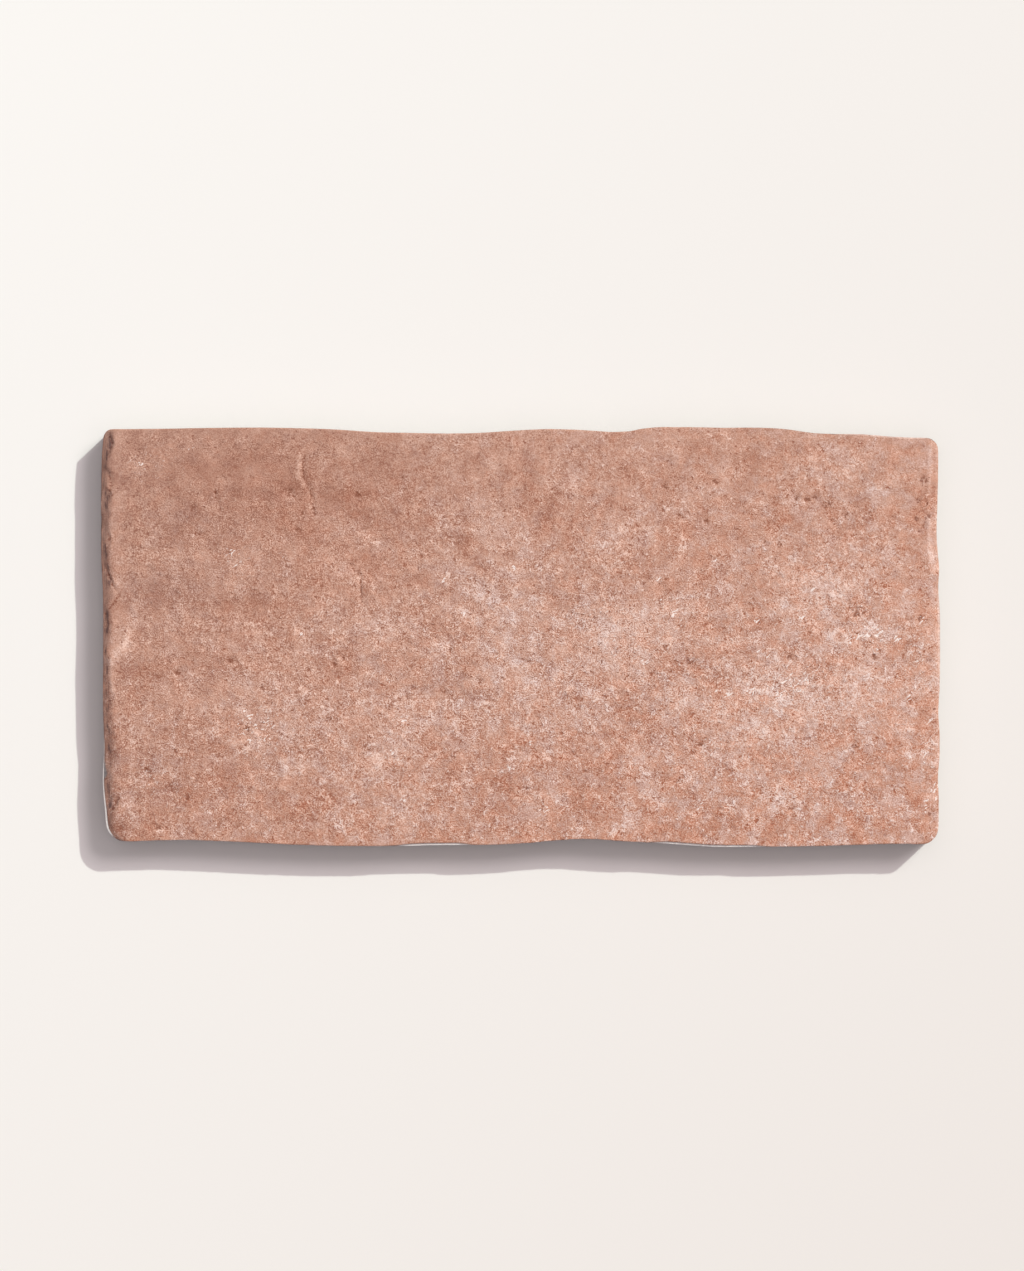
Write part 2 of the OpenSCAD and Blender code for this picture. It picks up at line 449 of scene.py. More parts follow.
# Pits pressed into the face: how deep one of strength 1 is, and for each (radius, strength), the places
PIT_DEPTH = 0.35
PITS = {
    (0.7, 1.1): [(65.7, 33), (68, 32.6), (46.4, 37), (84.3, -4.6), (79.4, -25.8)],
    (1.2, 0.7): [(72.8, 31.3)],
    (0.6, 1.1): [(77.3, 29.2)],
    (1.0, 0.8): [(38, 28.8), (-69, -5.6), (-76.9, 24.6), (-90.7, 44.1), (34.1, 36)],
    (0.8, 0.9): [(44, 27.5), (97.6, -42), (-79.2, -38.3)],
    (0.7, 0.8): [
        (57.7, 28.8), (83.4, 29.4), (64, -4.8), (-78, -6), (-36.1, -11.7), (-86.3, -45.4), (-91.8, 33.5),
        (-49.5, 25.4), (1.5, -36.2), (98.6, -17.2), (97, 28.6),
    ],
    (0.9, 0.8): [(96, 37.4), (37.3, -34.5), (-81.4, -8.5), (-53.3, 25.6), (-78, 30.5)],
    (1.1, 0.9): [(80, 5.8), (-38.9, 33.9)],
    (1.1, 0.8): [(40.5, -6.2), (-55, 34.3)],
    (0.7, 0.9): [
        (48.8, -25.2), (42.8, -25.4), (-44.4, -6.3), (-41.9, -5.5), (61.5, 22.2), (-65.9, 27.2),
        (95.2, 4.4),
    ],
    (0.7, 0.6): [(64.3, -40.7), (-82.2, -19.4), (-91.4, -39.6)],
    (0.9, 0.9): [(-61.2, -12.2), (-89, -32), (-64.8, -21.7), (-95.2, -45.5)],
    (1.2, 0.9): [(-82.9, -36)],
    (0.8, 0.8): [(-94.1, 25.8), (69.9, 33.4), (-28.6, 37.6), (97.1, -5.4)],
    (0.9, 0.6): [(-18.5, -13.2)],
    (0.8, 0.6): [(-3, -36.5), (11.7, -33.6), (27.8, -17.1)],
    (0.6, 0.9): [(-17.3, 10.7), (-24.5, 16.4), (-45.6, -19.4)],
    (0.7, 1.0): [(-52, 29.4)],
    (0.6, 0.8): [
        (-27.2, -14.2), (96.8, 31.6), (94.6, 32.4), (95.6, 30), (94.2, 28.2), (96, 26.6), (94.8, 24.9),
    ],
}

# Painted highlights: pale-white glints that stand in for chips catching the light, as the pits
GLINTS = {
    (0.7, 1.0): [(78.9, -0.9), (89.6, 0), (49.5, -13.9), (54.9, -12.8), (98.9, -35.4)],
    (0.6, 0.9): [
        (80.6, 0.1), (82.4, 0.3), (84.8, -3.3), (67, 4.5), (33.7, 8.9), (37.2, 8.9), (47.1, -12.8),
        (62.7, -10.7), (-31.7, -10.3), (-30.9, -27.7), (98.3, -36.5), (-18.2, 13.4), (-13.5, 5.5),
        (-52.2, 0.9),
    ],
    (0.5, 0.9): [
        (83.4, 1.7), (33, 13.7), (-5.4, -4.7), (68.4, -10), (63.7, -9.8), (60.5, -12.2), (66, -12.8),
        (-64.4, -19), (96, -24.9), (92.6, -14.3), (92.3, -29), (98.9, -38.4), (96.6, -40),
    ],
    (0.8, 1.0): [(85.4, 0.8), (61.6, -13.7)],
    (0.6, 1.0): [(69.8, 11.6)],
    (0.7, 0.9): [(56.2, 3.6), (36.5, 5.8), (-2.4, -31.3), (42.8, -40.2), (29.5, -6), (-1.3, 16.4)],
    (0.5, 0.8): [
        (59, -4.6), (57.9, -3.9), (56.8, -3.2), (-66.8, -21), (-60.3, -20.6), (-60.6, -24.2),
        (-64.6, -24.6), (96.3, -41.3),
    ],
    (0.9, 0.4): [(-91.8, 42)],
    (0.6, 0.4): [(-90.3, 40.9), (-78.4, 44.6), (-80, 28.4)],
    (0.7, 0.5): [(-69, 20.3)],
    (0.8, 0.9): [(-27.9, -20)],
    (0.9, 0.6): [(5.7, -40.9)],
    (0.7, 0.8): [(-27.9, -38.7), (95.7, 4.2)],
    (0.6, 0.8): [(2.3, -25.6), (46.4, 18), (-65.8, -17.5)],
    (0.6, 0.5): [(-17.6, 20.2)],
    (0.8, 0.4): [(-56.8, 19)],
    (0.7, 0.4): [(-68, 17.3)],
    (0.5, 1.0): [(64.5, -11.5), (66.3, -10.9), (-63, -21.3), (-61.8, -22.6), (97.7, -20), (96.9, -38.9)],
}

# Grooves across the face: how wide, how deep, and the points that they pass
GROOVES = [
    (0.45, 0.3, [(-51.6, 42.5), (-52, 38.5), (-50.4, 35.5), (-49.6, 32.5), (-49.2, 29)]),
    (0.35, 0.35, [(-40.5, 17.5), (-38.2, 14), (-37.9, 11.6), (-38.2, 9.8), (-37.3, 7.7)]),
    (0.35, 0.3, [(-72.8, 35), (-72.2, 32), (-71.3, 29.8)]),
    (0.5, 0.35, [(-95.7, -38.2), (-96.4, -39.5), (-97.2, -41)]),
    (0.45, 0.35, [(-98, 47.8), (-97.2, 46), (-98.4, 43.5)]),
    (0.4, 0.3, [(-98.4, 39.4), (-97.5, 37), (-97.8, 34), (-98.6, 32.5)]),
    (0.4, 0.3, [(-98.2, 24.6), (-97.8, 22.5), (-98.6, 20.9)]),
    (0.4, 0.3, [(-98.8, 16.7), (-97.8, 14), (-96.4, 10.9)]),
    (0.5, 0.3, [(-95.7, 9.8), (-96.8, 8), (-98.8, 5.6)]),
    (0.5, 0.25, [(-55.6, 34.2), (-54.4, 34.1)]),
    (0.3, 0.2, [(-20.2, 20.2), (-19.4, 19.2)]),
    (0.35, 0.2, [(-84, 36.5), (-83.5, 35)]),
    (0.4, 0.25, [(78.3, 6.9), (81, 6.2), (83.9, 5.2)]),
    (0.3, 0.2, [(38.4, -8.6), (39.4, -10.2)]),
    (0.3, 0.2, [(42.8, -7.8), (45.4, -7.8)]),
    (0.35, 0.35, [(-13.1, -0.2), (-11.9, -0.4)]),
    (0.35, 0.3, [(-17.2, -1.8), (-16.5, -2.8), (-16.9, -3.8)]),
    (0.3, 0.3, [(51.6, 29.6), (53.6, 29.6)]),
    (0.35, 0.35, [(74, 27.9), (74.6, 27), (75.5, 26.5)]),
    (0.35, 0.3, [(57.3, 23), (58.3, 22.2), (59.5, 21.9)]),
    (0.35, 0.25, [(73.3, 12.3), (76.5, 10), (79, 7)]),
    (0.3, 0.2, [(72.9, 14), (76.5, 17)]),
    (0.3, 0.3, [(35.2, 42), (35.8, 41), (36.4, 40.6)]),
]

# Pale ridges across the face: how wide, how high, and the points that they pass
RIDGES = [
    (0.5, 0.19, [(-52.6, 43), (-53, 38.3), (-51.6, 36)]),
    (0.8, 0.2, [(-93.4, 1.2), (-93.8, -1.2), (-95.6, -3.2), (-97.6, -5.8)]),
    (0.9, 0.15, [(75, 9), (77, 11), (80, 13)]),
    (0.4, 0.2, [(56.6, -4.8), (59.4, -3)]),
    (0.4, 0.2, [(-33.2, -10.6), (-32, -10), (-30.6, -10.4)]),
    (0.35, 0.2, [(-9.1, 9.2), (-9.9, 10), (-10.7, 9.2), (-9.9, 8.4), (-9.1, 9.2)]),
    (0.35, 0.2, [(77.4, 0), (76.5, 1.5), (74.9, 1.5), (74, 0), (74.9, -1.5), (76.5, -1.5), (77.4, 0)]),
    (0.4, 0.15, [(-97.7, -5.9), (-97.6, -9.5), (-97.2, -13)]),
    (0.4, 0.2, [(96.6, -38.5), (99, -38.4)]),
    (0.4, 0.15, [(97.6, 46), (97.2, 30), (97.4, 18)]),
    (0.55, 0.16, [(-67.5, -16.8), (-66, -18.2), (-64.8, -19)]),
    (0.5, 0.16, [(-61.6, -15.1), (-61.1, -16.8), (-59.9, -17.5)]),
    (0.4, 0.25, [(-64.6, -21.7), (-62.6, -23.4)]),
    (0.4, 0.2, [(-62.3, -24.8), (-62, -26.2)]),
    (0.45, 0.2, [(-68.5, -25.6), (-66, -24.9)]),
    (0.8, 0.12, [(-56.7, -29.5), (-56.2, -33.5)]),
    (1.0, 0.1, [(-56.6, -36), (-55.4, -36)]),
    (0.45, 0.15, [(-35.6, -28.8), (-34.4, -31), (-33, -32.4)]),
    (0.45, 0.15, [(-34, -28.4), (-33.6, -31)]),
    (0.45, 0.18, [(-47.8, -34.8), (-46.6, -34.2)]),
    (0.45, 0.2, [(-52.4, -14), (-51.2, -13.6)]),
    (0.5, 0.15, [(-55.5, -15), (-54, -15.3)]),
    (0.45, 0.2, [(54.9, -13.8), (56.8, -13), (58.7, -12.9)]),
    (0.9, 0.12, [(55.6, -20), (56.2, -21.2)]),
    (0.8, 0.12, [(74.8, -5.6), (75.4, -6.2)]),
    (0.5, 0.15, [(79.6, -7.6), (81.6, -8), (82.2, -10.4)]),
    (0.5, 0.15, [(73, -9.6), (75.4, -8.8), (77.6, -9.8)]),
    (1.0, 0.12, [(44.2, -0.8), (45.2, -0.8)]),
    (0.45, 0.15, [(49, 6.6), (50.6, 7.6), (52.2, 6.8), (52.4, 5), (51, 3.8), (49.4, 4.4), (49, 6.6)]),
]

# How far the face's middle level lies under the CAD's, and how far its peaks may stand over it
FACE_SINK, FACE_CREST = 0.3, 0.2

# The slow waves, as (size, height), then the folds and the finest lumps
WAVES = [(34, 0.14), (12, 0.07)]
FOLD_SIZE, FOLD_HEIGHT = 3.4, 0.16
LUMP_SIZE, LUMP_HEIGHT = 1.3, 0.06

# The folds' own middle height, and how far and in what size of lumps they are bent
FOLD_MIDDLE = 0.12
BEND_REACH, BEND_SIZE = 0.9, 5

# The relief's share at the edge, how far in it is full, and how high up the sides it starts and is full
EDGE_RELIEF, FULL_INSIDE, FULL_ABOVE = 0.4, (0.5, 2.5), (0.5, 3.0)

# How high up the tile the rim and the face start to count, and count in full
UPPER = (0.6 * THICKNESS, 0.9 * THICKNESS)

# How rough the middle of the face is, and the rim as a share of it
MIDDLE_ROUGH, RIM_ROUGH = 0.84, 0.6

# How far in from the edge the rim's calm gives way, in mm, how raggedly, and how much sooner at the right
RIM_CALM, RAGGED_CALM, CALM_LUMP, SOONER = (0.8, 3.2), 0.8, 6, 3

# Where the face is rougher or calmer, as for ramps and for patches
ROUGH_RAMPS = [(NEAR, -25, 25, 0.18), (FAR, 28, 44, -0.16), (RIGHT, 78, 94, -0.14)]
ROUGH_PATCHES = [(15, -2, 60, 25, 0.27), (-72, 39, 18, 4, -0.25), (-94, 34, 3, 8, -0.2)]

# The far left is a little rougher: by how much, from where to the left, and from where to the far side
FAR_LEFT_ROUGH, FROM_MIDDLE, FROM_CENTRE = 0.08, (20, 70), (0, 20)

# The smooth band inside the left rim: where it ends in mm, its lumps, and how it comes in from the near end
BAND_END, BAND_LUMP, BAND_START, BAND_SHARE = (4, 6.5), 6, (-16, 0), 0.3

# How much calmer and how much paler that band is
BAND_CALM, BAND_TONE = 0.35, 0.07


def upper(points):
    """1 on the face and the rim, falling to 0 down the sides."""
    return smooth(points[:, 2], *UPPER)


def left_band(points):
    """1 on the smooth band just inside the left rim, which fades out towards the near end."""
    inside = points[:, 0] + HALF_LENGTH - lumps(points, BAND_LUMP, shift=40)
    return (1 - smooth(inside, *BAND_END)) * smooth(points[:, 1], *BAND_START, BAND_SHARE)


def roughness_of(points):
    """How rough the face is: calm along the rim, lively in the middle, with its ramps and patches."""
    x, y = points.T[:2]
    inside = from_edge(points) + SOONER * (x >= 0) + RAGGED_CALM * lumps(points, CALM_LUMP)
    far_left = smooth(-x, *FROM_MIDDLE) * smooth(y, *FROM_CENTRE)
    rough = MIDDLE_ROUGH + ramps(points, ROUGH_RAMPS) + patches(points, ROUGH_PATCHES)
    rough += FAR_LEFT_ROUGH * far_left - BAND_CALM * left_band(points)
    return smooth(inside, *RIM_CALM, RIM_ROUGH) * rough


def relief(points, rough):
    """How far each point of the face and sides stands out, in mm."""
    bent = points.copy()
    bent[:, :2] += BEND_REACH * drift(points, BEND_SIZE, 20)
    fine = FOLD_HEIGHT * folds(bent, FOLD_SIZE) + LUMP_HEIGHT * lumps(points, LUMP_SIZE, 1)
    out = sum(height * lumps(points, size) for size, height in WAVES) + rough * (fine - FOLD_MIDDLE)
    marks = strokes(points, RIDGES).sum(axis=0) - strokes(points, GROOVES).sum(axis=0)
    out += upper(points) * (marks - PIT_DEPTH * spots(points, PITS))

    # It is gentler at the rim, and none at the foot of the sides
    share = smooth(from_edge(points), *FULL_INSIDE, EDGE_RELIEF) * smooth(points[:, 2], *FULL_ABOVE)
    return np.minimum(share * out, FACE_SINK + FACE_CREST)


# ---- the tones

# Where the printed clay is darker or paler: (x, y, half length, half width, change, hue).
# The change is in levels of brightness, and a whole step of tone is this many of them. Hue is -1 where the
# clay is lilac, 0 where it is plain and 1 where it is rusty, and more than that counts as 1.
LEVELS_PER_TONE = 70.0
# The darker rows along the left rim, near x = -96, are painted shade on that flank
TONES = [
    (-62, 34, 26, 14, -9, 0.2), (-57, 36, 8, 7, -2, 0.4), (-50, 25, 5, 5, -6, 0.4),
    (-78, 27, 7, 5, -9, -0.5), (-86, 12, 8, 5, -8, -0.7), (-78, 10, 5, 4, -5, -0.5),
    (-38, 33, 6, 5, -7, 0.4), (-29, 26, 6, 5, -9, 0), (-36, 17, 6, 4, -5, 0.8), (-48, 16, 4, 5, -5, 0.4),
    (-55, 7, 5, 4, -5, 0.2), (-65, 7, 5, 3, -4, 0), (-82, -2, 4, 3, -6, 0), (-88, -8, 7, 5, -5, 0.1),
    (-90, -27, 6, 5, -6, 0), (-85, -33, 7, 5, -5, -0.5), (-72, -37, 10, 6, -6, 0.2),
    (-51, -41, 5, 4, -6, 0.3), (-42, -9, 4, 5, -7, 0.3), (-68, -22, 5, 3, -4, 0.7),
    (-17, -13, 5, 4, -4, -0.5), (-15, 26, 6, 4, -4, -0.1), (-45, 42, 7, 4, -5, 0), (-33, 43, 5, 4, -5, 0),
    (-28, 38, 6, 5, -4, 0.1), (6, 30, 5, 6, -8, 0.2), (4, 14, 4, 5, -4, 0), (0, 41, 4, 5, -4, 0.3),
    (30, 36, 5, 4, -5, 0), (38, 27, 8, 4, -6, 0.5), (43, 18, 4, 5, -7, 0.3), (75, 29, 7, 5, -7, 0),
    (95, 28, 4, 9, -7, -0.1), (28, 16, 4, 4, -3, 0.2), (37, -7, 5, 3, -9, -0.3), (45, 3, 4, 3, -3, 0),
    (63, -5, 4, 4, -3, -0.2), (81, 6, 5, 3, -6, 0), (27, -19, 4, 5, -8, -0.1), (12, -25, 6, 4, -4, 0.4),
    (18, -30, 8, 4, -5, 0.2), (-3, -37, 4, 9, -8, 0.2), (12, -40, 6, 4, -5, 0.1), (-12, -33, 6, 4, -4, 0.2),
    (38, -44, 6, 4, -9, 0.3), (50, -43, 5, 4, -6, 0.1), (73, -44, 5, 3, -7, 0.3), (87, -33, 8, 5, -5, -0.3),
    (92, -6, 3, 10, -4, -0.3), (35, -26, 6, 5, -5, 0.2), (8, -33, 6, 4, -4, 0), (55, 43, 16, 5, -4, 0.1),
    (-90, 42, 8, 6, -5, 0), (-72, 42, 10, 6, -4, 0.1), (-96, 0, 4, 50, -3, 0), (-3, 7, 12, 7, 11, -0.4),
    (-15, 13, 7, 5, 4, -0.3), (-7, 26, 6, 5, 13, -0.3), (22, -2, 14, 7, 9, 0), (32, 5, 8, 7, 6, 0),
    (17, 5, 6, 4, 5, -0.5), (28, -7, 5, 5, 6, 0), (-1, -8, 10, 11, 8, -0.4), (35, -15, 5, 4, 6, -0.6),
    (65, 8, 7, 6, 8, 0), (70, 14, 8, 6, 7, 0), (75, 4, 6, 5, 6, 0), (55, -16, 7, 7, 8, -0.1),
    (70, -17, 14, 8, 8, 0), (84, -13, 8, 8, 9, 0), (62, -11, 5, 5, 5, 0), (83, 1, 5, 3, 8, 0),
    (30, 28, 5, 5, 4, -0.2), (20, 24, 6, 4, 4, 0), (38, 34, 5, 4, 5, -0.1), (85, 36, 10, 7, 3, -0.5),
    (13, -19, 8, 6, 9, -0.3), (-28, -42, 7, 5, 9, -0.2), (5, -40, 4, 4, 13, 0.2), (-35, -31, 5, 4, 7, -0.2),
    (-48, -26, 17, 9, 3, -0.25), (-66, 2, 5, 4, 5, 0.6), (-80, -14, 5, 4, 5, 0.1), (-56, -7, 7, 5, 5, 0.3),
    (27, -29, 5, 3, 6, 0), (28, -44, 5, 4, 6, 0.3), (57, -42, 6, 5, 10, 0.3), (62, -37, 6, 4, 5, -0.1),
    (-33, 6, 7, 5, 5, 0), (-42, -44, 5, 4, 5, 0.2), (45, -30, 7, 5, 4, 0), (-30, -20, 8, 6, 4, -0.15),
    (-27, -10, 9, 11, 3, 0), (-93, -1, 2.5, 2.5, 8, 0.1), (-75, -44, 4, 3, 6, 0),
    (-96.5, -29, 1.5, 4, -8, -0.6), (-96, -46.5, 3, 3, -2, -1), (95, 28.5, 3, 4.5, -6, 0.3),
    (90, 40, 5, 5, -2, 0), (-62, 8, 9, 7, -3, 0), (-19, -13, 1.5, 1, -4, 1.5), (37, 0, 2.5, 2, 6, -0.3),
    (62, 5, 3.5, 1.5, 6, -0.2), (51, 5, 2.5, 1.5, 6, -0.2),
]

# Where the glaze is crumbly, and where painted glints and a paler painted sheen are scattered: (x, y, half
# length, half width, strength)
CRUMBLES_AND_GLINTS = [
    (-62, -22, 7, 6, 1.0), (16, 5.5, 7, 3, 0.9), (37, 4.5, 4, 3, 0.8), (65, -11, 9, 5, 1.0),
    (58, -15, 7, 4, 0.7), (84, 0.5, 7, 3, 1.3), (79, 8, 7, 5, 0.5), (97, -30, 2, 5, 1.2),
    (95, -6, 3, 8, 0.9), (45, -25, 8, 6, 0.6), (-88, 41, 6, 4, 0.4), (-68, 18, 4, 5, 0.5),
    (-88, -33, 4, 5, 0.6), (24, -2, 10, 6, 0.6), (5, -40, 4, 4, 0.5), (-30, -28, 4, 5, 0.6),
    (70, 14, 9, 7, 0.4), (40, -8, 8, 4, 0.4), (50, -40, 20, 6, 0.3), (-75, -38, 10, 6, 0.3),
]

# How many steps of tone the face grows paler from its middle to the right end and to the far side
TONE_RIGHT, TONE_FAR = 0.05, -0.02

# Painted light pales the right end's rim, and the near edge is darker, as for ramps; it is rustier to the
# right
TONE_RAMPS = [(RIGHT, HALF_LENGTH - 4, HALF_LENGTH - 1.5, 0.07), (NEAR, 28, 46, -0.05)]
PLAIN_HUE, HUE_RAMPS = -0.06, [(RIGHT, -20, 60, 0.1), (RIGHT, 75, 100, 0.4)]

# How far and in what size of lumps the patches' outlines wander
WANDER_REACH, WANDER_SIZE = 1.6, 9

# For each mm of depth or height, how much painted pit shade a groove gets and how many steps of tone a ridge
# is paler
GROOVE_SHADE, RIDGE_TONE = 2.4, 1.6

# How wide the grooves' painted shade and the ridges' paler tone are, as shares of their own widths
GROOVE_SPREAD, RIDGE_SPREAD = 0.8, 1.1

# How frosted the middle of the face is, and how much more the right end and the far side are
FROST, FROST_RIGHT, FROST_FAR = 0.55, 0.32, -0.25


def tones(points):
    """The print's change of tone at each point, with painted shade on the left rim and painted light at the
    right end, and its hue.
    """
    moved = points[:, :2] + WANDER_REACH * drift(points, WANDER_SIZE, 50)
    tone = TONE_RIGHT * moved[:, 0] / HALF_LENGTH + TONE_FAR * moved[:, 1] / HALF_WIDTH
    tone += BAND_TONE * left_band(points) + ramps(points, TONE_RAMPS)
    hue = PLAIN_HUE + ramps(points, HUE_RAMPS)
    for *place, change, tint in TONES:
        share = patch(moved, *place)
        tone += change / LEVELS_PER_TONE * share
        hue += tint * share
    return tone, np.clip(hue, -1, 1)


def crumble_and_glints(points):
    """How crumbly the glaze is at each point, which also sets where painted glints and a paler painted sheen
    lie.
    """
    return np.max([strength * patch(points, *place) for *place, strength in CRUMBLES_AND_GLINTS], axis=0)


def fields(points, rough, rim):
    """What the material reads at each point. The rim's points, with its ledge and its stain and painted
    shade, come first.
    """
    x, y = points.T[:2]
    tone, hue = tones(points)
    ledge, stain_and_shade = (np.concatenate([values, np.zeros(len(points) - len(values))]) for values in rim)
    grooves = GROOVE_SHADE * strokes(points, GROOVES, GROOVE_SPREAD).max(axis=0)
    ridges = RIDGE_TONE * strokes(points, RIDGES, RIDGE_SPREAD).max(axis=0)
    return {
        "tone": tone + ridges,
        "hue": hue,
        "rough": rough,
        "crumble_and_glints": crumble_and_glints(points),
        "ledge": ledge,
        "stain_and_shade": stain_and_shade,
        # Painted shade in the hollows of the pits and the grooves
        "press": np.maximum(spots(points, PITS), grooves),
        "glint": spots(points, GLINTS),
        "frost": np.clip(FROST + FROST_RIGHT * x / HALF_LENGTH + FROST_FAR * y / HALF_WIDTH, 0, 1),
    }


# ---- the finish

# sRGB colours of the glaze from dark to pale: where it is calm, where it is frosted and under the veil
CALM_GLAZE = ["9B6956", "B1816D", "C79A86", "DDB29E", "F4CCB9"]
FROSTED_GLAZE = ["A8654A", "B97F67", "CA9983", "DBB1A0", "ECCCBF"]
VEILED_GLAZE = ["AE7F70", "C19687", "D3AD9F", "E5C5BA", "F6DED6"]
# The painted shade of the pits and grooves, and the near-white of the painted highlights
PIT_SHADE_COLOUR, PAINTED_GLINT_COLOUR = "82472E", "FFEDE4"
BODY_PALE, BODY_DARK = "A29A97", "827A78"
# The sides' stain, which also paints the shade of the left and far rims, and the pale ledge
STAIN_AND_SHADE_COLOUR, LEDGE_COLOUR = "6E524C", "F4ECE6"

# What a patch's hue multiplies the glaze by
RUST, LILAC = (1.08, 0.98, 0.92, 1.0), (0.92, 1.0, 1.09, 1.0)

# How strongly pits take painted shade and glints painted highlight, and how strong the veil and the rust
# between it are
PIT_SHADE_SHARE, PAINTED_GLINT_SHARE = 0.75, 0.9
VEIL, RUSTING = 0.8, 1.4

# The glaze's noises: the size of their lumps in mm, their finer octaves, and each one's share of the last
GRIT_GRAIN, BLOTCH_GRAIN, MOTTLE_GRAIN = (1.2, 3, 0.7), (5, 1, 0.5), (6, 4, 0.7)
PATCHY_GRAIN, CLOUD_GRAIN, HUE_GRAIN = (4, 3, 0.6), (4.5, 4, 0.7), (2.6, 3, 0.6)
CRINKLE_GRAIN, CRACK_GRAIN, SPECK_GRAIN = (3.2, 1, 0.5), (3.4, 2, 0.6), (0.9, 1, 0.5)
PIT_GRAIN, GLINT_GRAIN = (0.7, 1, 0.5), (0.5, 1, 0.5)
STREAK_GRAIN, LINE_GRAIN = (1.2, 3, 0.6), (7, 2, 0.5)

# The levels of those at which each look starts and is full
CRINKLE_LEVELS, CRACK_LEVELS, SPECK_LEVELS = (0.3, 0.08), (0.2, 0.06), (1.9, 2.5)
VEIL_LEVELS, RUST_LEVELS, HUE_LEVELS = (0.2, 1.6), (-0.2, -1.6), (0, 1.5)
PIT_LEVELS, PAINTED_GLINT_LEVELS = (0.45, 0.75), (1.6, 1.9)

# The noises that serve one look only, with its levels
SAND_LOOK, BODY_LOOK = (0.3, 1, 0.5, -1.6, 1.6), (0.9, 4, 0.65, -2, 2)
PALE_LOOK, DARK_LOOK = (2.4, 3, 0.6, 0.5, 1.8), (2.6, 4, 0.7, -1.1, -1.9)
CRINKLED_LOOK, CRACKED_LOOK = (3.6, 2, 0.5, 0.7, 1.3), (2.2, 2, 0.5, 0.9, 1.5)

# The places are bent so that no look follows the noise's own grid: the size of the lumps and the reach
BENT, TORN = (2.5, 0.4), (1.6, 0.25)

# How ragged the hue and the pits are, and how frost strengthens the frosty flakes
HUE_RAGGED, PIT_RAGGED = 0.2, 0.2
LEAST_FROST, MORE_FROST = 0.1, 1.1

# How much a glint adds to the noise of the painted glints, and to their strength
GLINT_LEVEL, GLINT_STRENGTH = 2.2, 3.0

# Painted glints are long one way, at this angle, and streaks run along the sides
GLINT_ANGLE, GLINT_STRETCH = 40, (1.8, 0.8, 1.0)
STREAK_SQUEEZE, STREAK_DEPTH = (3.0, 0.5, 1.5), 0.3

# The face's middle tone, how much paler a painted sheen makes the crumbs, and how much each size of mottling
# changes the tone
MIDDLE_TONE, CRUMB_SHEEN = 0.455, 0.05
BLOTCH, MOTTLE, SAND, GRIT = 0.032, 0.046, 0.6, 0.04
FLAKES, CRINKLE, CRACK, SPECK = 0.14, 0.42, 0.4, 0.65

# How much the fine grain comes and goes across the face, and the sand's and the grit's share of that
PATCHINESS, FINE_PATCHINESS = 0.3, 0.5

# How high the bare body reaches up the sides, how far that line wanders, and half its soft edge
BARE_HEIGHT, BARE_WANDER, BARE_EDGE = 7.4, 0.4, 0.15

# How far the grit and sand stand out in mm, the flakes for each step of tone, and how much more in crumbs
GRIT_HEIGHT, SAND_HEIGHT, EMBOSS, CRUMB_RISE = 0.014, 0.012, 0.08, 0.5

# The matte glaze's strength of reflection, its roughness, and how that changes with grit, glints and the
# body
GLOSS, MATTE = 0.3, 0.5
GRIT_MATTE, GLINT_MATTE, BODY_MATTE = 0.04, -0.15, 0.3

# How far one octave of Blender's noise spreads about its middle, and how far the whole noise reaches
NOISE_SPREAD, NOISE_REACH = 0.125, 0.25


def linear(colour):
    """An sRGB colour written as six hex digits, as linear RGBA."""
    levels = [int(colour[k : k + 2], 16) / 255 for k in (0, 2, 4)]
    return [c / 12.92 if c <= 0.04045 else ((c + 0.055) / 1.055) ** 2.4 for c in levels] + [1.0]


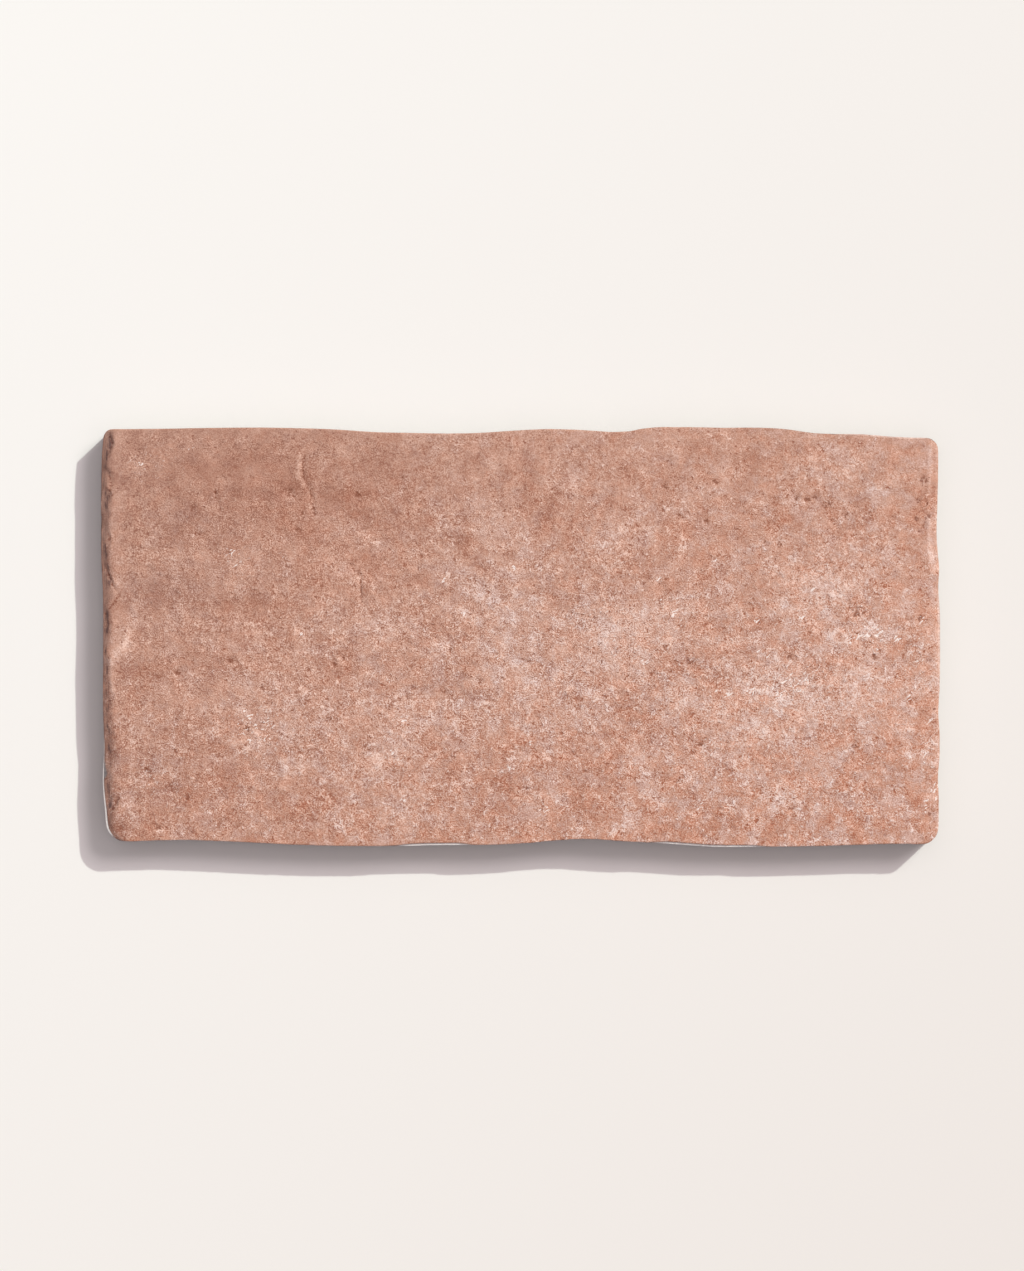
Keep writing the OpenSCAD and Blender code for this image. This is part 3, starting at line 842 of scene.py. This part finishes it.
class Nodes:
    """Makes a material's nodes and links them up."""

    def __init__(self, material):
        material.use_nodes = True
        self.tree = material.node_tree
        self.tree.nodes.clear()

    def add(self, kind, inputs=None, output=0, **settings):
        """An output, if any, of a new node. Its inputs take plain values or other nodes' outputs."""
        node = self.tree.nodes.new("ShaderNode" + kind)
        for name, value in settings.items():
            setattr(node, name, value)
        for name, value in (inputs or {}).items():
            if isinstance(value, bpy.types.NodeSocket):
                self.tree.links.new(value, node.inputs[name])
            else:
                node.inputs[name].default_value = value
        return node.outputs[output] if node.outputs else None

    def math(self, operation, a, b=0.0, c=0.0, clamp=False):
        """The result of one sum."""
        return self.add("Math", {0: a, 1: b, 2: c}, operation=operation, use_clamp=clamp)

    def times(self, a, b, clamp=False):
        """Two values multiplied."""
        return self.math("MULTIPLY", a, b, clamp=clamp)

    def total(self, start, *parts, clamp=False):
        """The start, plus each value times its weight."""
        for value, weight in parts:
            start = self.math("MULTIPLY_ADD", value, weight, start, clamp=clamp)
        return start

    def vector(self, operation, *inputs, output="Vector"):
        """The result of one sum of vectors."""
        return self.add("VectorMath", dict(enumerate(inputs)), output, operation=operation)

    def mix(self, share, a, b, blend="MIX"):
        """Two colours mixed."""
        inputs = {"Factor": share, "A": a, "B": b}
        return self.add("Mix", inputs, 2, data_type="RGBA", blend_type=blend)

    def field(self, name):
        """A value that the mesh holds at each of its points."""
        return self.add("Attribute", output="Fac", attribute_name=name)

    def place(self):
        """The point of the object that is being seen."""
        return self.add("TexCoord", output="Object")

    def noise(self, output, place, size, detail=2, rough=0.5):
        """An output of noise whose lumps are size mm wide."""
        inputs = {"Vector": place, "Scale": 1 / (size * MM), "Detail": detail, "Roughness": rough}
        return self.add("TexNoise", inputs, output)

    def grain(self, place, size, detail, rough):
        """Noise whose lumps are size mm wide, about 0 and spread by 1 on average."""
        octaves = rough ** np.arange(detail + 1)
        spread = NOISE_SPREAD * np.sqrt((octaves**2).sum()) / octaves.sum()
        return self.total(-0.5 / spread, (self.noise("Fac", place, size, detail, rough), 1 / spread))

    def bend(self, place, size, reach):
        """The place, moved by up to about reach mm in lumps that are size mm wide."""
        push = self.vector("SUBTRACT", self.noise("Color", place, size), (0.5, 0.5, 0.5))
        return self.vector("MULTIPLY_ADD", push, (reach * MM / NOISE_REACH,) * 3, place)

    def ramp(self, value, colours):
        """The colour at this value, 0 to 1, of evenly spaced colours."""
        colour_at = self.add("ValToRGB", {"Fac": value})
        stops = colour_at.node.color_ramp.elements
        while len(stops) < len(colours):
            stops.new(0.5)
        for k, colour in enumerate(colours):
            stops[k].position = k / (len(colours) - 1)
            stops[k].color = linear(colour)
        return colour_at

    def between(self, value, low, high):
        """0 below low, 1 above high and even between."""
        return self.add("MapRange", {"Value": value, "From Min": low, "From Max": high})

    def shows(self, place, size, detail, rough, low, high):
        """How far a look that grain makes shows."""
        return self.between(self.grain(place, size, detail, rough), low, high)

    def surface(self, look):
        """The material's shader and output."""
        self.add("OutputMaterial", {"Surface": self.add("BsdfPrincipled", look)})


def flake_tones(n, place, bent, torn, frost):
    """Frosty flakes, crinkles and glimmers, less dark flakes, cracks and specks, in steps of tone."""
    pale, dark = n.shows(torn, *PALE_LOOK), n.shows(bent, *DARK_LOOK)

    # Lines run where the noise crosses 0, and show only in some places
    crinkle = n.between(n.math("ABSOLUTE", n.grain(torn, *CRINKLE_GRAIN)), *CRINKLE_LEVELS)
    crinkle = n.times(crinkle, n.shows(place, *CRINKLED_LOOK))
    crack = n.between(n.math("ABSOLUTE", n.grain(bent, *CRACK_GRAIN)), *CRACK_LEVELS)
    crack = n.times(crack, n.shows(place, *CRACKED_LOOK))

    # Specks and glimmers are the lowest and the highest places of one noise
    spot, (low, high) = n.grain(torn, *SPECK_GRAIN), SPECK_LEVELS
    speck, glimmer = n.between(spot, -low, -high), n.between(spot, low, high)
    frosty = n.total(0.0, (pale, FLAKES), (crinkle, CRINKLE), (glimmer, SPECK))
    frosty = n.times(frosty, n.total(LEAST_FROST, (frost, MORE_FROST)))
    return n.total(frosty, (dark, -FLAKES), (crack, -CRACK), (speck, -SPECK))


def glaze_colour(n, value, bent, torn, held):
    """The printed clay's colour for its tone: frosted, veiled or rusty in clouds, with the patches' hue."""
    frost = held["frost"]
    glaze = n.mix(frost, n.ramp(value, CALM_GLAZE), n.ramp(value, FROSTED_GLAZE))
    clouds = n.grain(torn, *CLOUD_GRAIN)
    veil = n.times(n.between(clouds, *VEIL_LEVELS), n.times(frost, VEIL))
    rust = n.times(n.between(clouds, *RUST_LEVELS), n.times(frost, RUSTING))
    glaze = n.mix(veil, glaze, n.ramp(value, VEILED_GLAZE))
    hue = n.total(n.math("ADD", held["hue"], rust), (n.grain(bent, *HUE_GRAIN), HUE_RAGGED))
    start, full = HUE_LEVELS
    glaze = n.mix(n.between(hue, start, full), glaze, n.mix(1.0, glaze, RUST, "MULTIPLY"))
    return n.mix(n.between(hue, start, -full), glaze, n.mix(1.0, glaze, LILAC, "MULTIPLY"))


def marked(n, glaze, place, bent, held):
    """The glaze with painted shade in its pits and grooves, and painted highlights as pale glints: (colour,
    glints).
    """
    # Painted shade: the pits and grooves are darkened towards a rust brown, as shade in their hollows
    pit_shaded = n.between(n.total(held["press"], (n.grain(bent, *PIT_GRAIN), PIT_RAGGED)), *PIT_LEVELS)
    glaze = n.mix(n.times(pit_shaded, PIT_SHADE_SHARE), glaze, linear(PIT_SHADE_COLOUR))
    slant = {"Vector": place, "Rotation": (0, 0, math.radians(GLINT_ANGLE)), "Scale": GLINT_STRETCH}
    slanted = n.add("Mapping", slant, vector_type="TEXTURE")
    # Painted highlights: near-white glints where a slanted noise meets the glint and crumble fields
    painted_glints = n.between(n.total(n.grain(slanted, *GLINT_GRAIN), (held["glint"], GLINT_LEVEL)), *PAINTED_GLINT_LEVELS)
    painted_glints = n.times(painted_glints, n.total(held["crumble_and_glints"], (held["glint"], GLINT_STRENGTH)), clamp=True)
    return n.mix(n.times(painted_glints, PAINTED_GLINT_SHARE), glaze, linear(PAINTED_GLINT_COLOUR)), painted_glints


def sided(n, glaze, place, held):
    """The glaze, stained at the sides and darkened by painted shade on the left and far rims, with the bare
    body below it and the ledge: (colour, bare).
    """
    squeezed = n.add("Mapping", {"Vector": place, "Scale": STREAK_SQUEEZE})
    streaks = n.total(1.0, (n.grain(squeezed, *STREAK_GRAIN), STREAK_DEPTH))
    glaze = n.mix(n.times(held["stain_and_shade"], streaks, clamp=True), glaze, linear(STAIN_AND_SHADE_COLOUR))
    height = n.add("SeparateXYZ", {"Vector": place}, "Z")
    line = n.total(BARE_HEIGHT * MM, (n.grain(place, *LINE_GRAIN), BARE_WANDER * MM))
    bare = n.between(n.math("SUBTRACT", line, height), -BARE_EDGE * MM, BARE_EDGE * MM)
    body = n.mix(n.shows(place, *BODY_LOOK), linear(BODY_DARK), linear(BODY_PALE))
    return n.mix(held["ledge"], n.mix(bare, glaze, body), linear(LEDGE_COLOUR)), bare


def tile_material():
    """Matte printed glaze over a plain grey body, mixed by what the mesh holds at each point."""
    material = bpy.data.materials.new("rustic_glaze")
    n = Nodes(material)
    names = ("tone", "hue", "rough", "crumble_and_glints", "ledge", "stain_and_shade", "press", "glint", "frost")
    held = {name: n.field(name) for name in names}
    rough, crumbs_and_glints = held["rough"], held["crumble_and_glints"]
    place = n.place()
    bent, torn = n.bend(place, *BENT), n.bend(place, *TORN)

    # The tone: mottling of every size
    sand = n.math("SUBTRACT", n.shows(place, *SAND_LOOK), 0.5)
    grit = n.grain(torn, *GRIT_GRAIN)
    flakes = flake_tones(n, place, bent, torn, held["frost"])
    patchy = n.total(1.0, (n.grain(place, *PATCHY_GRAIN), PATCHINESS))
    fine = n.times(
        n.total(0.0, (sand, SAND), (grit, GRIT)),
        n.total(1 - FINE_PATCHINESS, (patchy, FINE_PATCHINESS)),
    )
    value = n.total(
        n.math("ADD", held["tone"], MIDDLE_TONE),
        (n.grain(bent, *MOTTLE_GRAIN), MOTTLE),
        (n.grain(bent, *BLOTCH_GRAIN), BLOTCH),
        (crumbs_and_glints, CRUMB_SHEEN),
        (fine, rough),
        (flakes, n.times(rough, patchy)),
    )

    glaze = glaze_colour(n, value, bent, torn, held)
    glaze, painted_glints = marked(n, glaze, place, bent, held)
    colour, bare = sided(n, glaze, place, held)

    matte = n.total(MATTE, (painted_glints, GLINT_MATTE), (grit, GRIT_MATTE))
    matte = n.total(matte, (bare, BODY_MATTE), clamp=True)
    bumps = n.total(0.0, (sand, SAND_HEIGHT), (grit, GRIT_HEIGHT), (flakes, EMBOSS))
    bumps = n.times(bumps, n.total(rough, (crumbs_and_glints, CRUMB_RISE)))
    bump = n.add("Bump", {"Height": bumps, "Distance": MM, "Strength": 1.0})
    n.surface({"Base Color": colour, "Roughness": matte, "Specular IOR Level": GLOSS, "Normal": bump})
    return material


# ---- the tile

# Edges sharper than this, in degrees, aren't shaded smooth
SHARP_ANGLE = 40


def placed(name, data):
    """A new object in the scene."""
    made = bpy.data.objects.new(name, data)
    bpy.context.scene.collection.objects.link(made)
    return made


def make_tile():
    """The tile's mesh with its relief, its fields and its finish."""
    points, faces, worked, rim = tile_mesh()
    mesh = bpy.data.meshes.new("fired_tile")
    mesh.from_pydata((points * MM).tolist(), [], faces)
    normals = np.array([v.normal for v in mesh.vertices])
    rough = roughness_of(points)
    pressed = relief(points[:worked], rough[:worked])
    points[:worked] += normals[:worked] * pressed[:, None]
    points[:, 2] -= FACE_SINK * upper(points)
    mesh.vertices.foreach_set("co", (points * MM).ravel())
    for name, values in fields(points, rough, rim).items():
        mesh.attributes.new(name, "FLOAT", "POINT").data.foreach_set("value", values.astype(np.float32))
    mesh.shade_smooth()
    mesh.set_sharp_from_angle(angle=math.radians(SHARP_ANGLE))
    mesh.materials.append(tile_material())
    tile = placed("fired_tile", mesh)
    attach(tile, "root")
    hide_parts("tile")


# ---- the studio

# The floor's side in metres, its colours to the far left and the near right, and the x - y that reaches each
FLOOR_SIZE = 20.0
FLOOR_LIGHT, FLOOR_DARK = "FBF8F3", "EFE8E2"
FLOOR_FADE = 0.27
FLOOR_MATTE, FLOOR_GLOSS = 0.9, 0.1

# A narrow lamp and a broad one: their slopes, their widths in degrees, their shares of the light beside the
# sky's, and their tints, of which the broad lamp's is also the sky's
KEY_SLOPE, SOFT_SLOPE = Vector((0.84, 0.79, 1.0)), Vector((0.68, 0.58, 1.0))
KEY_ANGLE, SOFT_ANGLE = 1.2, 20.0
KEY_SHARE, SOFT_SHARE, SKY_SHARE = 0.37, 0.24, 0.39
KEY_TINT, FILL_TINT = (0.944, 1.066, 0.985), (1.035, 0.955, 1.01)

# The sky fades from overhead to the horizon as this power of the height
SKY_POWER = 2.0

# Where the camera is and the height that it sees at the tile's face, all in metres, and its film in mm
CAMERA_X, CAMERA_Y, CAMERA_DISTANCE = -0.002, 0.00035, 1.6
VIEW_HEIGHT = 0.3026
SENSOR = 36.0


def make_floor():
    """A pale floor, a little lighter to the far left than to the near right."""
    material = bpy.data.materials.new("studio_floor")
    n = Nodes(material)
    spread = n.vector("DOT_PRODUCT", n.place(), (1.0, -1.0, 0.0), output="Value")
    colour = n.ramp(n.between(spread, -FLOOR_FADE, FLOOR_FADE), [FLOOR_LIGHT, FLOOR_DARK])
    n.surface({"Base Color": colour, "Roughness": FLOOR_MATTE, "Specular IOR Level": FLOOR_GLOSS})
    half = FLOOR_SIZE / 2
    mesh = bpy.data.meshes.new("floor")
    corners = [(-half, -half, 0), (half, -half, 0), (half, half, 0), (-half, half, 0)]
    mesh.from_pydata(corners, [], [(0, 1, 2, 3)])
    mesh.materials.append(material)
    floor = placed("floor", mesh)


def make_sun(name, slope, angle, share, tint):
    """A lamp from far away that gives a level surface this share of full light."""
    way = slope.normalized()
    lamp = bpy.data.lights.new(name, "SUN")
    lamp.color = tint
    lamp.angle = math.radians(angle)
    lamp.energy = share * math.pi / way.z
    sun = placed(name, lamp)
    sun.rotation_mode = "QUATERNION"
    sun.rotation_quaternion = way.to_track_quat("Z", "Y")


def make_sky():
    """Soft light from overhead, which the camera sees as the floor's pale colour."""
    world = bpy.data.worlds.new("studio")
    n = Nodes(world)
    up = n.add("SeparateXYZ", {"Vector": n.add("TexCoord", output="Generated")}, "Z")
    light = n.math("POWER", n.math("MAXIMUM", up, 0.0), SKY_POWER)
    # For any power, this gives a level surface the sky's share of full light
    light = n.times(light, SKY_SHARE * (SKY_POWER + 2) / 2)
    seen_by_camera = n.add("LightPath", output="Is Camera Ray")
    sky = n.add("Background", {"Color": (*FILL_TINT, 1.0), "Strength": light})
    seen = n.add("Background", {"Color": linear(FLOOR_DARK), "Strength": 1.0})
    n.add("OutputWorld", {"Surface": n.add("MixShader", {0: seen_by_camera, 1: sky, 2: seen})})
    bpy.context.scene.world = world


def make_camera():
    """A long lens straight above the tile, with the tile's length across the picture."""
    lens = bpy.data.cameras.new("camera")
    lens.sensor_width = SENSOR
    lens.lens = SENSOR * (CAMERA_DISTANCE - THICKNESS * MM) / VIEW_HEIGHT
    camera = placed("camera", lens)
    camera.location = (CAMERA_X, CAMERA_Y, CAMERA_DISTANCE)
    bpy.context.scene.camera = camera


make_tile()
make_floor()
make_sun("key", KEY_SLOPE, KEY_ANGLE, KEY_SHARE, KEY_TINT)
make_sun("soft", SOFT_SLOPE, SOFT_ANGLE, SOFT_SHARE, FILL_TINT)
make_sky()
make_camera()
bpy.context.scene.view_settings.view_transform = "Standard"
